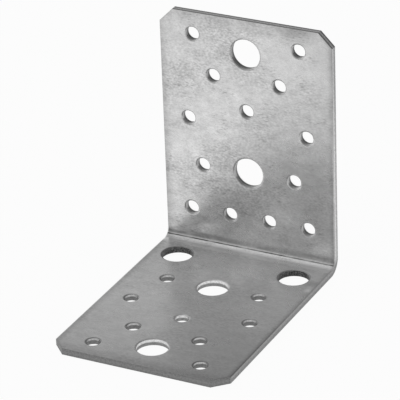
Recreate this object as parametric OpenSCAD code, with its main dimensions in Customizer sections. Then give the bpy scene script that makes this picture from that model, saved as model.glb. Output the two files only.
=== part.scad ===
// Angle bracket for timber joints, cut, punched and bent from one galvanised steel sheet.
// Lengths are in millimetres. The base leg lies on the ground and points forward, to -Y, and the
// upright leg stands along its rear edge. The origin is on the underside, in the middle of the base.

/* [Sheet] */
// Thickness of the sheet
sheet_t = 2.5; // [2:0.1:4]
// Width of the bracket, along its bend
bracket_w = 65; // [58:1:100]
// Length of the upright leg, from the underside of the base to its top end
upright_length = 90; // [86:1:150]
// Length of the base leg, from the back of the upright to its front end
base_length = 90; // [86:1:150]
// Radius on the inside of the bend
bend_inner_r = 3; // [1:0.5:4]
// Length that the slanted cut takes off both sides of each free corner
corner_cut = 5; // [1:0.5:8]

/* [Nail holes] */
// Diameter of the nail holes
nail_hole_d = 5; // [3:0.5:6]
// Corner pair: distance between its two holes
corner_pair_gap = 40; // [30:1:48]
// Corner pair: distance from the end of the leg
corner_pair_from_end = 8; // [6:0.5:12]
// Narrow pair: distance between its two holes
narrow_pair_gap = 25; // [20:1:35]
// Narrow pair: distance from the end of the leg
narrow_pair_from_end = 22.5; // [20:0.5:26]
// Middle hole: distance from the end of the leg
middle_hole_from_end = 34; // [30:0.5:36]
// Wide pair: distance between its two holes
wide_pair_gap = 45; // [40:1:50]
// Wide pair: distance from the end of the leg
wide_pair_from_end = 40; // [34:0.5:42]
// Pair beside the bolt hole: distance between its two holes
beside_bolt_gap = 35; // [25:1:44]
// Heel row of the upright leg: number of holes
heel_nail_count = 4; // [2:1:4]
// Heel row of the upright leg: distance from one hole to the next
heel_nail_pitch = 15; // [8:0.5:15]

/* [Bolt holes] */
// Diameter of the bolt holes
bolt_hole_d = 11; // [8:0.5:13]
// Bolt hole near the end: distance from the end of the leg
end_bolt_from_end = 12.5; // [10:0.5:14]
// Bolt row: distance from the outer corner of the bend
bolt_row_from_corner = 32.5; // [28:0.5:35]
// Heel row of both legs: distance from the outer corner of the bend
heel_row_from_corner = 15; // [13:0.5:17]
// Heel row of the base leg: distance between its two bolt holes
heel_bolt_gap = 45; // [30:1:46]

/* [Punched edges] */
// Width of the strip along the sides and holes of the inner faces that the press has drawn over
roll_width = 0.6; // [0.3:0.1:1.4]
// Depth that this strip has sunk to at the edge
roll_depth = 0.25; // [0.1:0.05:0.3]
// Height of the smooth band that the punch cuts below a hole's rolled edge
cut_band = 1; // [0.3:0.1:1.5]
// Growth of a hole's radius over the torn rest of its wall
break_out = 0.15; // [0.05:0.05:0.3]

/* [Hidden] */

$fn = 48;
bend_outer_r = bend_inner_r + sheet_t;
// The strip sinks along an arc that leaves the inner face smoothly
roll_arc_r = (roll_width * roll_width + roll_depth * roll_depth) / (2 * roll_depth);
// How far a cutter reaches past the metal
over = 1;
// Length of a trimming cutter, more than any edge, and its reach outwards from the cut
trim_length = 2 * bracket_w;
trim_reach = 2 * corner_cut + over;

// Places of holes on a leg, each [across the bracket, distance from the outer corner of the bend]
function pair(gap, from_corner) = [for (side = [-1, 1]) [side * gap / 2, from_corner]];

function row(count, pitch, from_corner) =
    [for (i = [0:count - 1]) [(i - (count - 1) / 2) * pitch, from_corner]];

// Both legs carry this pattern of nail holes, for a leg of length leg_length
function shared_nails(leg_length) = concat(
    pair(corner_pair_gap, leg_length - corner_pair_from_end),
    pair(narrow_pair_gap, leg_length - narrow_pair_from_end),
    [[0, leg_length - middle_hole_from_end]],
    pair(wide_pair_gap, leg_length - wide_pair_from_end),
    pair(beside_bolt_gap, bolt_row_from_corner)
);

// And this pattern of bolt holes
function shared_bolts(leg_length) = [[0, leg_length - end_bolt_from_end], [0, bolt_row_from_corner]];

upright_nails = concat(
    shared_nails(upright_length),
    row(heel_nail_count, heel_nail_pitch, heel_row_from_corner)
);
base_bolts = concat(shared_bolts(base_length), pair(heel_bolt_gap, heel_row_from_corner));

// What an edge of the sheet lacks where the press has drawn it over. The edge is at the origin,
// x is the depth below the inner face and the metal is on the side of -y.
module rolled_corner() {
    difference() {
        translate([-over, -roll_width]) square([over + roll_arc_r, roll_width + over]);
        translate([roll_arc_r, -roll_width]) circle(roll_arc_r);
    }
}

// The sheet cut across: x runs from the inner face to the outer one, y along the bend
module sheet_section() {
    difference() {
        translate([0, -bracket_w / 2]) square([sheet_t, bracket_w]);
        for (side = [0, 1]) mirror([0, side]) translate([0, bracket_w / 2]) rolled_corner();
    }
}

// The press tool that crops the sheet along a line and leaves it sharp: all beyond y = 0 goes
module trim() {
    linear_extrude(trim_length, center = true)
        translate([-over, 0]) square([sheet_t + 2 * over, trim_reach]);
}

// The press tool that punches a hole from the inner face: a rolled mouth, the smooth band that the
// punch has cut, and the torn rest, which widens. Its axis is z, with the inner face at z = 0.
module punch(hole_d) {
    hole_r = hole_d / 2;
    band_end = roll_depth + cut_band;
    out_r = hole_r + break_out;
    rotate_extrude() {
        difference() {
            translate([0, -over]) square([hole_r + roll_width, over + roll_arc_r]);
            translate([hole_r + roll_width, roll_arc_r]) circle(roll_arc_r);
        }
        polygon([[0, 0], [hole_r, 0], [hole_r, band_end], [out_r, sheet_t],
            [out_r, sheet_t + over], [0, sheet_t + over]]);
    }
}

// One leg, seen from the axis of the bend: z is that axis, x runs through the sheet from the
// inner face to the outer one, and the leg goes along y from where the bend ends
module leg(leg_length, nails, bolts) {
    end = leg_length - bend_outer_r;
    half_w = bracket_w / 2;
    difference() {
        rotate([-90, 0, 0]) linear_extrude(end) translate([bend_inner_r, 0]) sheet_section();
        translate([bend_inner_r, end, 0]) trim();
        for (side = [-1, 1])
            translate([bend_inner_r, end - corner_cut / 2, side * (half_w - corner_cut / 2)])
                rotate([side * 45, 0, 0]) trim();
        for (place = nails) punched(place, nail_hole_d);
        for (place = bolts) punched(place, bolt_hole_d);
    }
}

// The punch, set at a place on a leg
module punched(place, hole_d) {
    translate([bend_inner_r, place[1] - bend_outer_r, place[0]]) rotate([0, 90, 0]) punch(hole_d);
}

// The quarter turn between the legs
module bend() {
    rotate([0, 0, -90]) rotate_extrude(angle = 90) translate([bend_inner_r, 0]) sheet_section();
}

// The base leg is the upright one mirrored in the bend
module bracket() {
    color("silver")
        translate([0, base_length / 2 - bend_outer_r, bend_outer_r]) rotate([90, 0, 90]) {
            leg(upright_length, upright_nails, shared_bolts(upright_length));
            bend();
            mirror([1, 1, 0]) leg(base_length, shared_nails(base_length), base_bolts);
        }
}

bracket();
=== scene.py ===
# %% [markdown]
# # A galvanised angle bracket
#
# The real thing is one steel sheet, 2.5 mm thick, that a press has cut, punched and bent at a right
# angle. Carpenters nail and bolt it into the corner between two timbers.
#
# All of its shape comes from the CAD model: the sheet, the bend, the slanted corners, the holes and
# the drawn-over edges. What Blender adds is the finish, and the light that makes a finish readable.

# %% The CAD model as a fixed frame
import math

import bmesh
import bpy
from mathutils import Matrix, Vector


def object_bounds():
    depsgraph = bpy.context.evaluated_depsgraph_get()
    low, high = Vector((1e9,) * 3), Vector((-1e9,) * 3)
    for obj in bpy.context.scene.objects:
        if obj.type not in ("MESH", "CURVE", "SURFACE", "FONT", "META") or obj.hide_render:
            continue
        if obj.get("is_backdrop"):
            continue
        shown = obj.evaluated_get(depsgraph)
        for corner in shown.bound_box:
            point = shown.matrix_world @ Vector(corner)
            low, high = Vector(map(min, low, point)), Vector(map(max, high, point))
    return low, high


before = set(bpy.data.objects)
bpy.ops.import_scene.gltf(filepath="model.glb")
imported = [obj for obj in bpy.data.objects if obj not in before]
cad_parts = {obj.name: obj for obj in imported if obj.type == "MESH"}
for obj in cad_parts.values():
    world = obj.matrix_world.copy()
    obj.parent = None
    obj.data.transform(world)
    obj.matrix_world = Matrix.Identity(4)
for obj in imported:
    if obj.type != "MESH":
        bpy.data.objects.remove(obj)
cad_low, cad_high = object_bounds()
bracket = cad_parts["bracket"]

MM = 0.001
scene = bpy.context.scene
cad_size = [round(side / MM, 1) for side in cad_high - cad_low]
print("bracket:", len(bracket.data.polygons), "triangles,", cad_size, "mm")

# %% [markdown]
# ## The camera
#
# A picture of a right angle gives its own camera away: the outline and the holes fix where it
# stood. A long lens, about 270 mm on a 36 mm sensor, a metre away, hardly lets parallel edges run
# together. It looks down at the bracket from the front right, and is rolled by two degrees round
# its own line of sight. A camera that only tracks a target can't roll, so we build its three axes
# ourselves: back, right and up.

# %% Camera
SENSOR_WIDTH = 36.0
PICTURE_SIDE = 400
AZIMUTH, ELEVATION, ROLL = (math.radians(a) for a in (27.495, 26.671, -2.104))
FOCAL_PIXELS = 3003.0
CAMERA_DISTANCE = 1.002
AIM = Vector((0, 0, 0.045))
SLIDE_RIGHT, SLIDE_UP = 2.599 * MM, -2.725 * MM

back = Vector(
    (
        math.sin(AZIMUTH) * math.cos(ELEVATION),
        -math.cos(AZIMUTH) * math.cos(ELEVATION),
        math.sin(ELEVATION),
    )
)
level_right = Vector((0, 0, 1)).cross(back).normalized()
roll = Matrix.Rotation(ROLL, 3, back)
right = roll @ level_right
up = roll @ back.cross(level_right)

camera = bpy.data.objects.new("camera", bpy.data.cameras.new("camera"))
scene.collection.objects.link(camera)
camera.data.sensor_width = SENSOR_WIDTH
camera.data.lens = FOCAL_PIXELS / PICTURE_SIDE * SENSOR_WIDTH
camera_place = AIM + SLIDE_RIGHT * right + SLIDE_UP * up + CAMERA_DISTANCE * back
camera_axes = Matrix((right, up, back)).transposed().to_4x4()
camera.matrix_world = Matrix.Translation(camera_place) @ camera_axes
scene.camera = camera
print("lens", round(camera.data.lens, 1), "mm, camera at", [round(v, 3) for v in camera_place])

# %% [markdown]
# ## One helper for every node tree
#
# A finish, a floor and a room are all trees of nodes. One function adds a node: the node's own
# settings are its keywords, and `inputs` fills its sockets in their order, or by name, each with a
# value or with the output of an earlier node. It gives back the new node's first live output.
#
# A Mix node has a socket called A for each kind of thing that it can mix, so a name would find the
# wrong one: its two colours go by their place in the list.
#
# We choose greys as hex colours, and nodes want them linear: a second function does that.

# %% Helpers: a node, a colour
FIRST, SECOND = 6, 7


def add(tree, kind, inputs=(), **settings):
    made = tree.nodes.new("ShaderNode" + kind)
    for name, value in settings.items():
        setattr(made, name, value)
    named = inputs if isinstance(inputs, dict) else dict(enumerate(inputs))
    for socket, value in named.items():
        if isinstance(value, bpy.types.NodeSocket):
            tree.links.new(value, made.inputs[socket])
        else:
            made.inputs[socket].default_value = value
    return next((output for output in made.outputs if output.enabled), None)


def linear(colour):
    channels = (int(colour[i : i + 2], 16) / 255 for i in (1, 3, 5))
    return (*(c / 12.92 if c <= 0.04045 else ((c + 0.055) / 1.055) ** 2.4 for c in channels), 1.0)


print("a middle grey, #808080, is linear", round(linear("#808080")[0], 3))

# %% [markdown]
# ## The room
#
# Bare metal has no colour of its own: it shows the room. The upright leg mirrors the pale floor
# and, low down, the base leg. The base leg mirrors the back of the room, and on its right the
# upright leg. So the room matters as much as the finish. A studio could be built of panels round
# the bracket, but a world with a few soft patches does the same, and each can be set by itself.
# The wall is pale at the horizon and greyer above.
#
# Three patches are dim. The front shows in the bend and, by way of the upright leg, in the right
# half of the base leg. The corner behind the bracket to the right shows in the walls of the upright
# leg's holes, and the camera's side in the mouths of those holes, at their lower left. The fourth
# patch, on the left, is a window, hardly brighter than white.

# %% World
HORIZON, WALL, CEILING = linear("#F2F2F2"), linear("#C0C0C0"), linear("#ACACAC")
WALL_HEIGHT, CEILING_HEIGHT = 0.42, 0.85
# Each patch: its middle, the cosines of its outer and inner edges, and how bright it is
FRONT = (Vector((-0.41, -0.91, 0.0)), 0.86, 0.97, 0.54)
CORNER = (Vector((0.5, 0.8, 0.33)), 0.60, 0.95, 0.32)
CAMERA_SIDE = (Vector((0.55, -0.64, 0.54)), 0.82, 0.96, 0.36)
WINDOW = (Vector((-0.93, -0.24, 0.28)), 0.85, 0.97, 1.15)

world = bpy.data.worlds.new("studio")
scene.world = world
world.use_nodes = True
room = world.node_tree
room.nodes.clear()
direction = add(room, "TexCoord").node.outputs["Generated"]
height = add(room, "SeparateXYZ", (direction,)).node.outputs["Z"]
shown = add(room, "ValToRGB", (height,))
stops = shown.node.color_ramp.elements
stops[0].position, stops[0].color = 0.0, HORIZON
stops[1].position, stops[1].color = WALL_HEIGHT, WALL
stops.new(CEILING_HEIGHT).color = CEILING
for middle, outer, inner, level in (FRONT, CORNER, CAMERA_SIDE, WINDOW):
    near = add(room, "VectorMath", (direction, middle.normalized()), operation="DOT_PRODUCT")
    patch = add(room, "MapRange", (near, outer, inner), interpolation_type="SMOOTHSTEP")
    grey = (level, level, level, 1)
    shown = add(room, "Mix", {"Factor": patch, FIRST: shown, SECOND: grey}, data_type="RGBA")
add(room, "OutputWorld", (add(room, "Background", (shown,)),))
print("room:", len(room.nodes), "nodes")

# %% [markdown]
# ## The lamp
#
# One softbox, overhead and a little in front to the left, which is where the bend mirrors it
# towards the camera. It draws the bright line along the bend and puts a glint on the rims of the
# holes. It is large, so that the shadows are soft, and weak, so that the bend doesn't burn out.

# %% Lamp
LAMP_SIDE = 0.9
LAMP_PLACE = Vector((-0.57, -0.42, 1.17))
LAMP_POWER = 0.8

softbox = bpy.data.objects.new("softbox", bpy.data.lights.new("softbox", "AREA"))
scene.collection.objects.link(softbox)
softbox.data.shape = "SQUARE"
softbox.data.size = LAMP_SIDE
softbox.data.energy = LAMP_POWER
softbox.location = LAMP_PLACE
softbox.rotation_euler = (LAMP_PLACE - AIM).to_track_quat("Z", "Y").to_euler()
radiance = LAMP_POWER / (math.pi * LAMP_SIDE**2)
print("softbox", LAMP_SIDE, "m wide, radiance", round(radiance, 2))

# %% [markdown]
# ## The floor
#
# A sheet of white paper. To the eye it is an even white with a soft shadow. Lit paper renders a
# light grey, so for the camera most of it is a plain white of strength 1, and the rest keeps the
# shadow. In the metal's reflections the white share is smaller: there the shadow right beside the
# bracket has to show, because the cut edges mirror just that strip.

# %% Floor
FLOOR_RADIUS, FLOOR_SEGMENTS = 6.0, 96
FLOOR_DROP = 0.05 * MM
PAPER = linear("#F8F8F8")
WHITE = (1, 1, 1, 1)
WHITE_FOR_CAMERA, WHITE_FOR_REFLECTIONS = 0.95, 0.76

form = bmesh.new()
bmesh.ops.create_circle(
    form,
    cap_ends=True,
    segments=FLOOR_SEGMENTS,
    radius=FLOOR_RADIUS,
    matrix=Matrix.Translation((0, 0, -FLOOR_DROP)),
)
floor = bpy.data.objects.new("floor", bpy.data.meshes.new("floor"))
form.to_mesh(floor.data)
form.free()
scene.collection.objects.link(floor)
floor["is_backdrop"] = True

paper = bpy.data.materials.new("white studio paper")
paper.use_nodes = True
tree = paper.node_tree
tree.nodes.clear()
ray = add(tree, "LightPath").node.outputs
mirrored = (ray["Is Glossy Ray"], ray["Is Transmission Ray"])
mirrored = add(tree, "Math", mirrored, operation="MAXIMUM")
mirrored = add(tree, "Math", (mirrored, WHITE_FOR_REFLECTIONS), operation="MULTIPLY")
white_share = (ray["Is Camera Ray"], WHITE_FOR_CAMERA, mirrored)
white_share = add(tree, "Math", white_share, operation="MULTIPLY_ADD")
lit = add(tree, "BsdfDiffuse", {"Color": PAPER})
white = add(tree, "Emission", {"Color": WHITE, "Strength": 1.0})
add(tree, "OutputMaterial", (add(tree, "MixShader", (white_share, lit, white)),))
floor.data.materials.append(paper)
print("floor", 2 * FLOOR_RADIUS, "m across")

# %% [markdown]
# ## The finish: hot-dip galvanised sheet steel
#
# Before it was punched, the sheet ran through molten zinc, which froze to a skin of fine crystals.
# To the eye it is a satin grey with a fine speckle, a mottle a few millimetres wide, and faint
# clouds where the skin is duller.
#
# The punched edges could be painted as faces with a second material. One material for the whole
# sheet is closer to the truth: a punched edge is a cut through the same sheet, and its zones don't
# meet where faces meet. So the nodes find out for themselves where they are, from the depth below
# the inner face: at the face itself it is zinc, then comes the smooth band that the punch has cut,
# then the torn rest.

# %% Where on the sheet: depth below the inner face, distances across and along a leg
SHEET, BEND_INNER_R = 2.5 * MM, 3 * MM
LEG, HALF_WIDTH, CORNER_CUT = 90 * MM, 32.5 * MM, 5 * MM
BEND_OUTER_R = BEND_INNER_R + SHEET
BEND_AXIS_Y, BEND_AXIS_Z = LEG / 2 - BEND_OUTER_R, BEND_OUTER_R

zinc = bpy.data.materials.new("hot-dip galvanised sheet steel")
zinc.use_nodes = True
tree = zinc.node_tree
tree.nodes.clear()
place = add(tree, "TexCoord").node.outputs["Object"]
x, y, z = add(tree, "SeparateXYZ", (place,)).node.outputs

# Round the bend, depth is distance from its axis. Along the legs one of the two offsets is none.
offset = (place, (0, 1, -1), (0, -BEND_AXIS_Y, BEND_AXIS_Z))
offset = add(tree, "VectorMath", offset, operation="MULTIPLY_ADD")
offset = add(tree, "VectorMath", (offset, (0, 0, 0)), operation="MAXIMUM")
from_axis = add(tree, "VectorMath", (offset,), operation="LENGTH")
depth = add(tree, "Math", (from_axis, BEND_INNER_R), operation="SUBTRACT")

across = add(tree, "Math", (x,), operation="ABSOLUTE")
forward = add(tree, "Math", (LEG / 2, y), operation="SUBTRACT")
along = add(tree, "Math", (forward, z), operation="MAXIMUM")
slanted = add(tree, "Math", (along, across), operation="ADD")
SLANT_END = LEG + HALF_WIDTH - CORNER_CUT
bend_axis = [round(distance / MM, 1) for distance in (BEND_AXIS_Y, BEND_AXIS_Z)]
print("axis of the bend at y and z", bend_axis, "mm")

# %% [markdown]
# ### The zinc skin
#
# The rolls drew the sheet out along its width, so every pattern is longer that way. A real crystal
# of this finish is about 0.3 mm, as small as a pixel, so the speckle is drawn coarser, at 0.55 mm.
# Where the skin is cloudy the speckle is strong, and elsewhere it is weaker: that unevenness is
# what tells a real skin from a printed one.

# %% Speckle, mottle and clouds
DRAWN_OUT = 1.7
SPECKLE, MOTTLE, CLOUD = 0.55 * MM, 2.6 * MM, 13 * MM
SPECKLE_SHARE, MOTTLE_SHARE, CLOUD_SHARE = 0.9, 0.75, -0.5
# The speckle's share where it is clear, where it is cloudy, and the cloud values between them
CLEAR_SHARE, CLOUDY_SHARE = 0.5 * SPECKLE_SHARE, 1.5 * SPECKLE_SHARE
CLEAR, CLOUDY = 0.42, 0.62

drawn = add(tree, "VectorMath", (place, (1 / DRAWN_OUT, 1, 1)), operation="MULTIPLY")
speckle = add(tree, "TexNoise", {"Vector": drawn, "Scale": 1 / SPECKLE, "Detail": 2.0})
mottle = {"Vector": drawn, "Scale": 1 / MOTTLE, "Detail": 3.0, "Roughness": 0.6}
mottle = add(tree, "TexNoise", mottle)
cloud = {"Vector": drawn, "Scale": 1 / CLOUD, "Detail": 4.0, "Roughness": 0.55}
cloud = add(tree, "TexNoise", cloud)
speckle_share = add(tree, "MapRange", (cloud, CLEAR, CLOUDY, CLEAR_SHARE, CLOUDY_SHARE))
sizes = [round(size / MM, 2) for size in (SPECKLE, MOTTLE, CLOUD)]
print("speckle, mottle and cloud", sizes, "mm")

# %% [markdown]
# Handling has left fine dark lines on the skin, mostly in some places. A real one is about 0.1 mm
# wide, which is too fine to show, so they are drawn 0.35 mm wide and 1.6 mm long. Photographed
# scratches would do it too, but a stretched noise that only shows its peaks has no seams and no
# limits.

# %% Scuffs
SCUFF, SCUFF_LENGTH, SCUFFED_PLACE = 0.35 * MM, 1.6 * MM, 8 * MM
SCUFF_SHARE = -0.42
# From which noise value on there is a scuff or a scuffed place, and where it is full
SCUFF_FROM, SCUFF_FULL = 0.56, 0.72
SCUFFED_FROM, SCUFFED_FULL = 0.5, 0.62

scuff = (place, (1 / SCUFF_LENGTH, 1 / SCUFF, 1 / SCUFF))
scuff = add(tree, "VectorMath", scuff, operation="MULTIPLY")
scuff = add(tree, "TexNoise", {"Vector": scuff, "Scale": 1.0, "Detail": 1.0})
scuff = add(tree, "MapRange", (scuff, SCUFF_FROM, SCUFF_FULL))
scuffed = add(tree, "TexNoise", {"Vector": drawn, "Scale": 1 / SCUFFED_PLACE, "Detail": 1.0})
scuffed = add(tree, "MapRange", (scuffed, SCUFFED_FROM, SCUFFED_FULL, 0.0, SCUFF_SHARE))
scuff = add(tree, "Math", (scuff, scuffed), operation="MULTIPLY")
print("scuffs", round(SCUFF_LENGTH / MM, 2), "x", round(SCUFF / MM, 2), "mm")

# %% [markdown]
# All patterns go into one tone, from dull to clean zinc. They are strongest on the left half of the
# upright leg, and quieter towards the right and on the base leg.

# %% The skin's colour
ZINC_DULL, ZINC_CLEAN = linear("#ACACAC"), linear("#FAFAFA")
BASE_STRENGTH, RIGHT_STRENGTH = 0.6, 0.65
# The heights between which the base leg's strength turns into the upright leg's
STRENGTH_LOW, STRENGTH_HIGH = 3 * MM, 9 * MM

tone = scuff
patterns = (speckle, speckle_share), (mottle, MOTTLE_SHARE), (cloud, CLOUD_SHARE)
for pattern, share in patterns:
    centred = add(tree, "Math", (pattern, 0.5), operation="SUBTRACT")
    tone = add(tree, "Math", (centred, share, tone), operation="MULTIPLY_ADD")
strength = (z, STRENGTH_LOW, STRENGTH_HIGH, BASE_STRENGTH, 1.0)
strength = add(tree, "MapRange", strength, interpolation_type="SMOOTHSTEP")
to_the_right = add(tree, "MapRange", (x, 0.0, HALF_WIDTH, 1.0, RIGHT_STRENGTH))
strength = add(tree, "Math", (strength, to_the_right), operation="MULTIPLY")
tone = add(tree, "Math", (tone, strength, 0.5), operation="MULTIPLY_ADD", use_clamp=True)
zincs = {"Factor": tone, FIRST: ZINC_DULL, SECOND: ZINC_CLEAN}
skin = add(tree, "Mix", zincs, data_type="RGBA")
print("zinc", round(ZINC_DULL[0], 2), "to", round(ZINC_CLEAN[0], 2), "linear")

# %% [markdown]
# ### Wear and painted light and shade on the skin
#
# Wear and painted light and shade are one number that the skin's colour is multiplied by, so each
# kind can be added to it or taken from it. A painted mask would be another way, and would tie us to
# a picture.
#
# The first kind is painted shade in the strips that the press has drawn over, along the sides and
# in the mouths of the holes: they are painted darker, for the shade and dark reflections in them.
# In the base leg this is darker than in the upright leg, apart from the centre row, and darkest in
# the two bolt holes beside the bend, in the shadow of the upright leg.
#
# The nodes know such a strip by its tilt: it is on the inner side of a leg, but its normal points
# neither quite up nor quite to the front.

# %% Places on the sheet
NEAR = 0.1 * MM
# The heights between which the base leg's finish turns into the upright leg's
BASE_TOP, UPRIGHT_FOOT = 3 * MM, 6 * MM
# Half the width of the strip that holds the holes on the centre line
CENTRE_ROW = 6.5 * MM
HEEL_HOLE_X, HEEL_HOLE_Y, HEEL_MOUTH_R = 22.5 * MM, 30 * MM, 6.2 * MM

on_base = add(tree, "MapRange", (z, BASE_TOP, UPRIGHT_FOOT, 1.0, 0.0))
off_centre = add(tree, "Math", (across, CENTRE_ROW), operation="GREATER_THAN")
on_plan = add(tree, "CombineXYZ", (across, y))
heel_hole = (HEEL_HOLE_X, HEEL_HOLE_Y, 0)
from_heel_hole = add(tree, "VectorMath", (on_plan, heel_hole), operation="DISTANCE")
at_heel_hole = add(tree, "Math", (from_heel_hole, HEEL_MOUTH_R), operation="LESS_THAN")
print("holes beside the bend", round(2 * HEEL_HOLE_X / MM, 1), "mm apart")

# %% Painted shade in the strips that the press has drawn over
# Cosines of the tilts at which a strip begins, about 10 degrees, and is full, about 20 degrees
TILT_FROM, TILT_FULL = 0.985, 0.94
# How wide a strip along a side is, how far below the inner face a strip may lie, and how far from
# the bend, which is tilted too, it begins
ROLLED_WIDTH, ROLLED_REACH, PAST_THE_BEND = 0.7 * MM, 1 * MM, 0.2 * MM
# What is left of the skin's brightness under the painted shade, in each kind of strip
MOUTH_CENTRE, MOUTH_LOW, MOUTH_AT_HEEL, MOUTH_HIGH = 0.95, 0.62, 0.46, 0.75
ROLLED_AT_SIDES = 0.92

normal = add(tree, "NewGeometry").node.outputs["Normal"]
_, facing_back, facing_up = add(tree, "SeparateXYZ", (normal,)).node.outputs
facing_front = add(tree, "Math", (facing_back, -1.0), operation="MULTIPLY")
flatness = add(tree, "Math", (facing_front, facing_up), operation="MAXIMUM")
rolled = add(tree, "MapRange", (flatness, TILT_FROM, TILT_FULL))
on_leg = add(tree, "Math", (along, BEND_OUTER_R + PAST_THE_BEND), operation="GREATER_THAN")
inner_side = add(tree, "Math", (depth, ROLLED_REACH), operation="LESS_THAN")
for where in (on_leg, inner_side):
    rolled = add(tree, "Math", (rolled, where), operation="MULTIPLY")

near_side = add(tree, "Math", (across, HALF_WIDTH - ROLLED_WIDTH), operation="GREATER_THAN")
# Painted shade: darker mouths and side strips, darkest in the bolt holes beside the bend
shade = add(tree, "MapRange", (off_centre, 0.0, 1.0, MOUTH_CENTRE, MOUTH_LOW))
shade = add(tree, "MapRange", (at_heel_hole, 0.0, 1.0, shade, MOUTH_AT_HEEL))
shade = add(tree, "MapRange", (on_base, 0.0, 1.0, MOUTH_HIGH, shade))
shade = add(tree, "MapRange", (near_side, 0.0, 1.0, shade, ROLLED_AT_SIDES))
wear_and_painted_light = add(tree, "MapRange", (rolled, 0.0, 1.0, 1.0, shade))
print("the dullest mouths keep", MOUTH_AT_HEEL, "of the skin's brightness")

# %% [markdown]
# Four marks of painted light and shade run all along the bend, for its reflections. From the top
# down: its upper half is painted darker, for the shade in the crease, in that runs a painted
# highlight line, in the middle is a fine painted dark line, and the foot carries a painted
# highlight.
# The mottle makes them patchy.

# %% Painted light and shade along the bend
# Each mark: how far above the middle of the bend, how far it reaches, how much it adds or takes
SHADED_UPPER_HALF = (1.5 * MM, 2.6 * MM, -0.56)
PAINTED_HIGHLIGHT_LINE = (0.6 * MM, 0.5 * MM, 0.18)
PAINTED_DARK_LINE = (-0.12 * MM, 0.5 * MM, -0.8)
PAINTED_HIGHLIGHT_FOOT = (-3.3 * MM, 2.8 * MM, 0.6)
# The mottle's values between which a mark goes from faint to strong
FAINT_AT, STRONG_AT, FAINT, STRONG = 0.4, 0.6, 0.75, 1.15

on_face = add(tree, "Math", (depth, NEAR), operation="LESS_THAN")
patchy = add(tree, "MapRange", (mottle, FAINT_AT, STRONG_AT, FAINT, STRONG))
on_face = add(tree, "Math", (on_face, patchy), operation="MULTIPLY")
height_in_bend = add(tree, "Math", (y, z), operation="ADD")
# Painted light and shade: each mark lightens or darkens the skin in a band along the bend
for middle, reach, change in (SHADED_UPPER_HALF, PAINTED_HIGHLIGHT_LINE, PAINTED_DARK_LINE, PAINTED_HIGHLIGHT_FOOT):
    away = add(tree, "Math", (height_in_bend, LEG / 2 + middle), operation="SUBTRACT")
    away = add(tree, "Math", (away,), operation="ABSOLUTE")
    mark = (away, 0.0, reach, change, 0.0)
    mark = add(tree, "MapRange", mark, interpolation_type="SMOOTHSTEP")
    wear_and_painted_light = add(tree, "Math", (mark, on_face, wear_and_painted_light), operation="MULTIPLY_ADD")
print("groove", round(PAINTED_DARK_LINE[1] / MM, 2), "mm to either side")

# %% [markdown]
# Along every border the skin is painted a little darker: painted shade, for the dark fringe at the
# edges.

# %% Painted shade along the borders
# Each border: how wide it is and how much it takes at the very edge
LEFT_BORDER, RIGHT_BORDER = (3.5 * MM, -0.24), (2.2 * MM, -0.22)
END_BORDER, SLANT_BORDER = (6.5 * MM, -0.17), (1.8 * MM, -0.25)

leftward = add(tree, "Math", (x, -1.0), operation="MULTIPLY")
sides = (leftward, HALF_WIDTH, LEFT_BORDER), (x, HALF_WIDTH, RIGHT_BORDER)
ends = (along, LEG, END_BORDER), (slanted, SLANT_END, SLANT_BORDER)
border_shade = 0.0
# Painted shade: a darker fringe along each side, end and slanted corner
for distance, end, (width, change) in sides + ends:
    near_end = (distance, end - width, end, 0.0, change)
    near_end = add(tree, "MapRange", near_end, interpolation_type="SMOOTHSTEP")
    border_shade = add(tree, "Math", (border_shade, near_end), operation="MINIMUM")
wear_and_painted_light = add(tree, "Math", (wear_and_painted_light, border_shade), operation="ADD")
print(len(sides + ends), "borders")

# %% [markdown]
# Hands and storage leave smudges: large, soft places where the zinc is duller or cleaner. Among
# them are places of painted shade, such as the darker foot of the upright leg beside the bend and
# its darker top right. They are placed one by one, as round spots that fade out, because they tell
# this bracket from any other. The whole base leg is also painted darker to the front, most of all
# on its
# right: painted shade, for the darker reflection there.

# %% Smudges, handling and painted shade
# Each smudge or place of painted shade, in millimetres: its middle, which is x and z on the upright
# leg and x and y on the base leg, and its radius. Then how much it adds or takes.
UPRIGHT_SMUDGES_AND_SHADE = (
    (-7, 17, 15, -0.15),
    (18, 13, 17, -0.09),
    (13, 5, 20, -0.06),
    (-14, 5, 16, -0.07),
    (25, 25, 11, -0.1),
    (1, 21, 8, -0.08),
    (-10, 9, 7, -0.08),
    (-22, 36, 13, 0.11),
    (-8, 46, 26, 0.07),
    (19, 90, 10, -0.22),
    (36, 80, 14, -0.2),
    (36, 62, 12, -0.12),
    (25, 11, 7, 0.12),
    (8, 19, 7, 0.06),
)
BASE_SMUDGES_AND_SHADE = (
    (-29, 26, 26, -0.18),
    (4, 22, 14, 0.17),
    (-7, 19, 7, 0.08),
    (24, 5, 20, 0.04),
    (26, 36, 24, -0.05),
    (2, 0, 13, -0.06),
    (22, -14, 30, -0.05),
    (30, 28, 3.5, -0.35),
    (31, 23, 1.8, 0.4),
    (-5, 4, 12, -0.08),
    (25, -6, 9, 0.08),
)
# Painted shade on the base leg: how much it gains towards the back, for each metre on its centre
# line, how much more for each metre to the right of that, and what it gains everywhere
BASE_SHADE_SLOPE, BASE_SHADE_MORE_TO_THE_RIGHT, BASE_SHADE_MIDDLE = 5.0, 60.0, 0.02

upright_face_y, base_face_z = LEG / 2 - SHEET, SHEET
smudges_and_shade = []
for across_leg, up_leg, radius, change in UPRIGHT_SMUDGES_AND_SHADE:
    smudges_and_shade.append(((across_leg * MM, upright_face_y, up_leg * MM), radius, change))
for across_leg, back_on_leg, radius, change in BASE_SMUDGES_AND_SHADE:
    smudges_and_shade.append(((across_leg * MM, back_on_leg * MM, base_face_z), radius, change))
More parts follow.
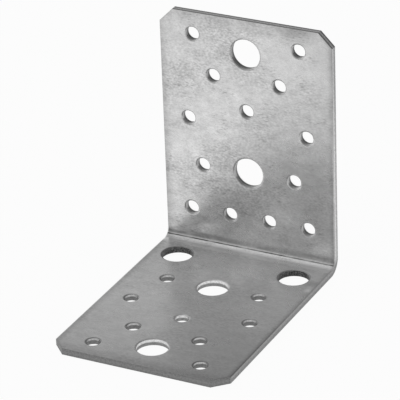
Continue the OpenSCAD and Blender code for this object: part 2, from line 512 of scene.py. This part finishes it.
# Smudges and painted shade, each a round spot that fades out
for middle, radius, change in smudges_and_shade:
    away = add(tree, "VectorMath", (place, middle), operation="DISTANCE")
    smudge_and_shade = (away, 0.0, radius * MM, change, 0.0)
    smudge_and_shade = add(tree, "MapRange", smudge_and_shade, interpolation_type="SMOOTHSTEP")
    wear_and_painted_light = add(tree, "Math", (wear_and_painted_light, smudge_and_shade), operation="ADD")

# Painted shade: the base leg darker to the front, most of all on its right
slope = (x, BASE_SHADE_MORE_TO_THE_RIGHT, BASE_SHADE_SLOPE)
slope = add(tree, "Math", slope, operation="MULTIPLY_ADD")
painted_base_shade = add(tree, "Math", (y, slope, BASE_SHADE_MIDDLE), operation="MULTIPLY_ADD")
wear_and_painted_light = add(tree, "Math", (painted_base_shade, on_base, wear_and_painted_light), operation="MULTIPLY_ADD")
skin = add(tree, "VectorMath", {0: skin, "Scale": wear_and_painted_light}, operation="SCALE")
print(len(smudges_and_shade), "smudges_and_shade")

# %% [markdown]
# ### The punched edges
#
# The punch first shears the steel, which leaves a smooth, bright band, and then the rest tears off
# and stays dull and rough. Where one ends and the other starts wavers a little, so a noise is
# added to the depth. In the base leg's holes off the centre line the band is shorter.
#
# Only a hole's wall or a long side has these zones. The ends of the legs and their slanted corners
# were cropped, and have neither a rolled edge nor a band. The zinc skin comes back at the outer
# face.

# %% Which edge it is
at_side = add(tree, "Math", (across, HALF_WIDTH - NEAR), operation="GREATER_THAN")
at_end = add(tree, "Math", (along, LEG - NEAR), operation="GREATER_THAN")
at_slant = add(tree, "Math", (slanted, SLANT_END - NEAR), operation="GREATER_THAN")
cropped = add(tree, "Math", (at_end, at_slant), operation="MAXIMUM")
# Painted shade: the base leg's long sides, which mirror the shadowed floor beside them
low_side_in_shade = add(tree, "Math", (at_side, on_base), operation="MULTIPLY")
off_centre_hole = add(tree, "Math", (off_centre, on_base), operation="MULTIPLY")
off_centre_hole = add(
    tree, "Math", (off_centre_hole, at_side), operation="SUBTRACT", use_clamp=True
)
print("edges told apart within", round(NEAR / MM, 2), "mm")

# %% Zones of an edge
ROLLED_DEPTH, CROPPED_DEPTH = 0.25 * MM, 0.02 * MM
BAND_END, BAND_SHORTER, BAND_FADE = 1.2 * MM, 0.3 * MM, 0.2 * MM
WAVER, WAVER_LENGTH = 0.35 * MM, 1.5 * MM
# How close to the outer face the edge begins to give way to the skin, and has done so
OUTER_FROM, OUTER_FULL = 0.03 * MM, 0.01 * MM

waver = add(tree, "TexNoise", {"Vector": place, "Scale": 1 / WAVER_LENGTH, "Detail": 2.0})
waver = add(tree, "Math", (waver, 0.5), operation="SUBTRACT")
wavering = add(tree, "Math", (waver, WAVER, depth), operation="MULTIPLY_ADD")
torn_depth = (off_centre_hole, BAND_SHORTER, wavering)
torn_depth = add(tree, "Math", torn_depth, operation="MULTIPLY_ADD")
torn = add(tree, "MapRange", (torn_depth, BAND_END - BAND_FADE, BAND_END + BAND_FADE))

edge_start = add(tree, "MapRange", (cropped, 0.0, 1.0, ROLLED_DEPTH, CROPPED_DEPTH))
in_edge = add(tree, "Math", (depth, edge_start), operation="GREATER_THAN")
outer_face = (depth, SHEET - OUTER_FROM, SHEET - OUTER_FULL, 1.0, 0.0)
outer_face = add(tree, "MapRange", outer_face)
in_edge = add(tree, "Math", (in_edge, outer_face), operation="MULTIPLY")
print("band down to", round(BAND_END / MM, 2), "mm of", round(SHEET / MM, 2), "mm")

# %% [markdown]
# In the base leg's holes the band is bright and the rest dull, and off the centre line a little
# less so. In the upright leg's holes both are painted darker: painted shade, for the dark corner of
# the room that they mirror. The long sides came from the slitting line: they are cleaner than the
# walls of the holes, and are painted darker towards the top, painted shade for the dimmer
# reflection there. Along the base leg they are painted a darker grey, which comes with the next
# step.

# %% Walls of the holes and long sides
BAND_LOW, TORN_LOW = linear("#E6E6E6"), linear("#949494")
# Painted shade: the same cut steel is a darker grey in the upright leg's holes
BAND_HIGH_SHADED, TORN_HIGH_SHADED = linear("#ACACAC"), linear("#848484")
BAND_AT_SIDES, TORN_AT_SIDES = linear("#D8D8D8"), linear("#BEBEBE")
OFF_CENTRE_SHARE, SHADED_TOP_SHARE = 0.76, 0.75
# The heights between which a side is painted darker, painted shade
SIDE_FROM, SIDE_FULL = 0.5 * LEG, 0.8 * LEG

zones = []
for high, low, side in (
    (BAND_HIGH_SHADED, BAND_LOW, BAND_AT_SIDES),
    (TORN_HIGH_SHADED, TORN_LOW, TORN_AT_SIDES),
):
    zone = add(tree, "Mix", {"Factor": on_base, FIRST: high, SECOND: low}, data_type="RGBA")
    zone = add(tree, "Mix", {"Factor": at_side, FIRST: zone, SECOND: side}, data_type="RGBA")
    zones.append(zone)
band, rest = zones
edge = add(tree, "Mix", {"Factor": torn, FIRST: band, SECOND: rest}, data_type="RGBA")
dimmed = add(tree, "MapRange", (off_centre_hole, 0.0, 1.0, 1.0, OFF_CENTRE_SHARE))
# Painted shade: the long sides darker towards the top
shaded_up_the_side = add(tree, "MapRange", (z, SIDE_FROM, SIDE_FULL, 1.0, SHADED_TOP_SHARE))
for share in (dimmed, shaded_up_the_side):
    edge = add(tree, "VectorMath", {0: edge, "Scale": share}, operation="SCALE")
print("zones of an edge:", len(zones))

# %% [markdown]
# The cropped ends are duller, and on the upright leg a paler streak runs along their middle. The
# base leg's end is painted darker still: painted shade, for the shadowed floor in front that it
# mirrors. The two bolt holes beside the bend have dark, gritty walls all through: painted shade,
# for the shadow of the upright leg. The base leg's sides are a plain darker grey: painted shade,
# for the shadowed floor beside them that they mirror. A fine grit lies over every edge: a torn
# grain is about 0.1 mm, so it is drawn coarser, at 0.6 mm, to show at all.

# %% Cropped ends, painted shade beside the bend and on the base leg's sides, and grit
# Painted shade: the base leg's end is a darker grey than the upright leg's, for the shadowed floor
# it mirrors
CROPPED_LOW_SHADED, STREAK_LOW_SHADED = linear("#828282"), linear("#8A8A8A")
CROPPED_HIGH, STREAK_HIGH = linear("#8A8A8A"), linear("#C8C8C8")
# Painted shade: near-black walls beside the bend and a darker grey for the base leg's sides
HEEL_SHADE_DARK, HEEL_SHADE_LIGHT, LOW_SIDE_SHADE = linear("#2C2C2C"), linear("#666666"), linear("#949494")
# How far from the middle of the sheet the streak is still full, and where it has faded
STREAK_FULL, STREAK_END = 0.25 * MM, 0.65 * MM
GRIT = 0.6 * MM
# Noise values of dark and light grit, in the walls beside the bend and elsewhere
HEEL_GRIT_DARK, HEEL_GRIT_LIGHT = 0.35, 0.65
GRIT_DARK, GRIT_LIGHT, DARK_SHARE, LIGHT_SHARE = 0.3, 0.7, 0.7, 1.3

from_middle = add(tree, "Math", (wavering, SHEET / 2), operation="SUBTRACT")
from_middle = add(tree, "Math", (from_middle,), operation="ABSOLUTE")
streak = add(tree, "MapRange", (from_middle, STREAK_FULL, STREAK_END, 1.0, 0.0))
high_and_low = []
for plain, pale in ((CROPPED_HIGH, STREAK_HIGH), (CROPPED_LOW_SHADED, STREAK_LOW_SHADED)):
    greys = {"Factor": streak, FIRST: plain, SECOND: pale}
    high_and_low.append(add(tree, "Mix", greys, data_type="RGBA"))
high_end, shaded_low_end = high_and_low
cropped_end = {"Factor": on_base, FIRST: high_end, SECOND: shaded_low_end}
cropped_end = add(tree, "Mix", cropped_end, data_type="RGBA")

grit = {"Vector": place, "Scale": 1 / GRIT, "Detail": 3.0, "Roughness": 0.7}
grit = add(tree, "TexNoise", grit)
# Painted shade: the walls of the bolt holes beside the bend are near black, with grit
gritty = add(tree, "MapRange", (grit, HEEL_GRIT_DARK, HEEL_GRIT_LIGHT))
shaded_heel_wall = {"Factor": gritty, FIRST: HEEL_SHADE_DARK, SECOND: HEEL_SHADE_LIGHT}
shaded_heel_wall = add(tree, "Mix", shaded_heel_wall, data_type="RGBA")

# Painted shade goes over the edge here, beside the bend and along the base leg's sides
for where, over in ((cropped, cropped_end), (at_heel_hole, shaded_heel_wall), (low_side_in_shade, LOW_SIDE_SHADE)):
    edge = add(tree, "Mix", {"Factor": where, FIRST: edge, SECOND: over}, data_type="RGBA")
grit = add(tree, "MapRange", (grit, GRIT_DARK, GRIT_LIGHT, DARK_SHARE, LIGHT_SHARE))
edge = add(tree, "VectorMath", {0: edge, "Scale": grit}, operation="SCALE")
colour = add(tree, "Mix", {"Factor": in_edge, FIRST: skin, SECOND: edge}, data_type="RGBA")
print("grit", round(GRIT / MM, 2), "mm")

# %% [markdown]
# ### Gloss and relief
#
# The clouds change the gloss as well as the colour: that is what makes a zinc skin look alive when
# it is turned in the light. The relief is a few micrometres of orange peel from the zinc bath, far
# too fine to model, so it is a bump. It is a bare metal, so it keeps the default IOR.

# %% Roughness, bump and the shader
SKIN_SMOOTH, SKIN_ROUGH = 0.24, 0.34
SMOOTH_AT, ROUGH_AT = 0.35, 0.65
BAND_ROUGHNESS, TORN_ROUGHNESS = 0.28, 0.5
PEEL = 0.008 * MM

skin_rough = add(tree, "MapRange", (cloud, SMOOTH_AT, ROUGH_AT, SKIN_SMOOTH, SKIN_ROUGH))
coarse = add(tree, "Math", (torn, cropped), operation="MAXIMUM")
edge_rough = add(tree, "MapRange", (coarse, 0.0, 1.0, BAND_ROUGHNESS, TORN_ROUGHNESS))
roughness = {"Factor": in_edge, "A": skin_rough, "B": edge_rough}
roughness = add(tree, "Mix", roughness, data_type="FLOAT")
peel = add(tree, "Bump", {"Height": speckle, "Strength": 1.0, "Distance": PEEL})
metal = {"Base Color": colour, "Metallic": 1.0, "Roughness": roughness, "Normal": peel}
metal = add(tree, "BsdfPrincipled", metal)
add(tree, "OutputMaterial", (metal,))
bracket.data.materials.clear()
bracket.data.materials.append(zinc)
print("material:", zinc.name, len(tree.nodes), "nodes")

# %% [markdown]
# ## The end
#
# The Standard view transform shows a colour as it is written. The finished bracket's box is
# measured again: it should be the CAD model's, because a finish has no thickness.

# %% The view's colours, both boxes and the end
scene.view_settings.view_transform = "Standard"
low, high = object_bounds()
